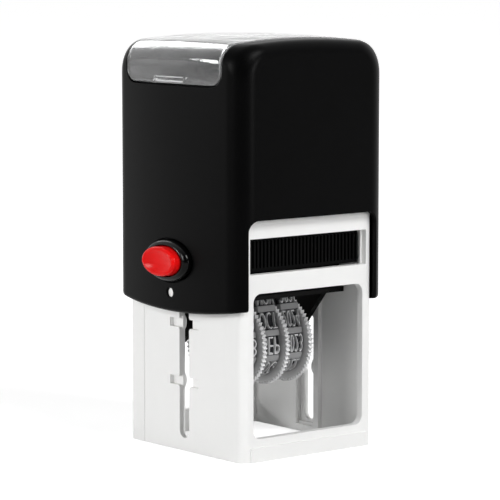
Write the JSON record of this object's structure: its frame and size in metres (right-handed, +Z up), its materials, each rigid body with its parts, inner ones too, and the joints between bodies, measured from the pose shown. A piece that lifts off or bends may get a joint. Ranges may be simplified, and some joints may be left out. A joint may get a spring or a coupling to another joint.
{
  "type": "self-inking date stamp",
  "caption": "Self-inking date stamp: open white base, sprung black cover with clear index window, lock buttons, flip-over turret with rubber die and thumb-turned date bands, slide-out ink pad.",
  "frame": {"origin": "centre of the base's underside, on the paper plane", "axes": "+Z up along the stroke, -Y towards the front with the date window and the pad, +X along the turret's pivot"},
  "size_m": [0.0524, 0.0444, 0.0917],
  "materials": {
    "white": "white moulded plastic, slightly glossy",
    "black": "black moulded plastic, fine matte texture",
    "black_gloss": "black moulded plastic",
    "felt": "ink-soaked felt",
    "clear": "clear moulded plastic",
    "paper": "printed card, plain here",
    "steel": "bright steel",
    "red": "red moulded plastic, glossy",
    "foam": "adhesive foam sheet",
    "rubber": "grey rubber",
    "grey": "grey moulded plastic"
  },
  "bodies": {
    "base": {"base_frame": "white", "return_spring": "steel"},
    "cassette": {"pad_cassette": "black_gloss", "ink_pad": "felt"},
    "cover": {"cover_shell": "black", "index_card": "paper"},
    "window": {"index_window": "clear"},
    "button_left": {"lock_button_left": "red"},
    "button_right": {"lock_button_right": "red"},
    "turret": {"turret_frame": "black", "die_cushion": "foam", "text_plate": "rubber", "band_bridge": "grey", "pivot_pin_left": "white", "pivot_pin_right": "white", "wheel_axle": "steel", "axle_washers": "grey", "axle_clips": "steel", "day_tens_band": "rubber", "day_units_band": "rubber", "month_band": "rubber", "year_band": "rubber"},
    "day_tens_wheel": {"day_tens_wheel": "grey"},
    "day_units_wheel": {"day_units_wheel": "grey"},
    "month_wheel": {"month_wheel": "grey"},
    "year_wheel": {"year_wheel": "grey"}
  },
  "joints": [
    {"name": "press", "type": "slide", "parent": "base", "child": "cover", "axis": [0, 0, -1], "range_m": [0, 0.0285], "stiffness_N_per_m": 350, "springref_m": -0.012, "deforming": ["return_spring"]},
    {"name": "flip", "type": "hinge", "parent": "cover", "child": "turret", "pos_m": [0, 0, 0.0356], "axis": [1, 0, 0], "range_deg": [0, 180]},
    {"name": "cassette_slide", "type": "slide", "parent": "base", "child": "cassette", "axis": [0, 1, 0], "range_m": [-0.034, 0]},
    {"name": "button_left_push", "type": "slide", "parent": "cover", "child": "button_left", "axis": [-1, 0, 0], "range_m": [-0.0014, 0], "stiffness_N_per_m": 400, "springref_m": 0.002},
    {"name": "button_right_push", "type": "slide", "parent": "cover", "child": "button_right", "axis": [1, 0, 0], "range_m": [-0.0014, 0], "stiffness_N_per_m": 400, "springref_m": 0.002},
    {"name": "window_lift", "type": "slide", "parent": "cover", "child": "window", "axis": [0, 0, 1], "range_m": [0, 0.014]},
    {"name": "day_tens_turn", "type": "hinge", "parent": "turret", "child": "day_tens_wheel", "pos_m": [0, 0, 0.0224], "axis": [1, 0, 0], "continuous": true},
    {"name": "day_units_turn", "type": "hinge", "parent": "turret", "child": "day_units_wheel", "pos_m": [0, 0, 0.0224], "axis": [1, 0, 0], "continuous": true},
    {"name": "month_turn", "type": "hinge", "parent": "turret", "child": "month_wheel", "pos_m": [0, 0, 0.0224], "axis": [1, 0, 0], "continuous": true},
    {"name": "year_turn", "type": "hinge", "parent": "turret", "child": "year_wheel", "pos_m": [0, 0, 0.0224], "axis": [1, 0, 0], "continuous": true}
  ],
  "couplings": [
    {"joint": "flip", "follows": "press", "rad_per_m": 110.23}
  ]
}
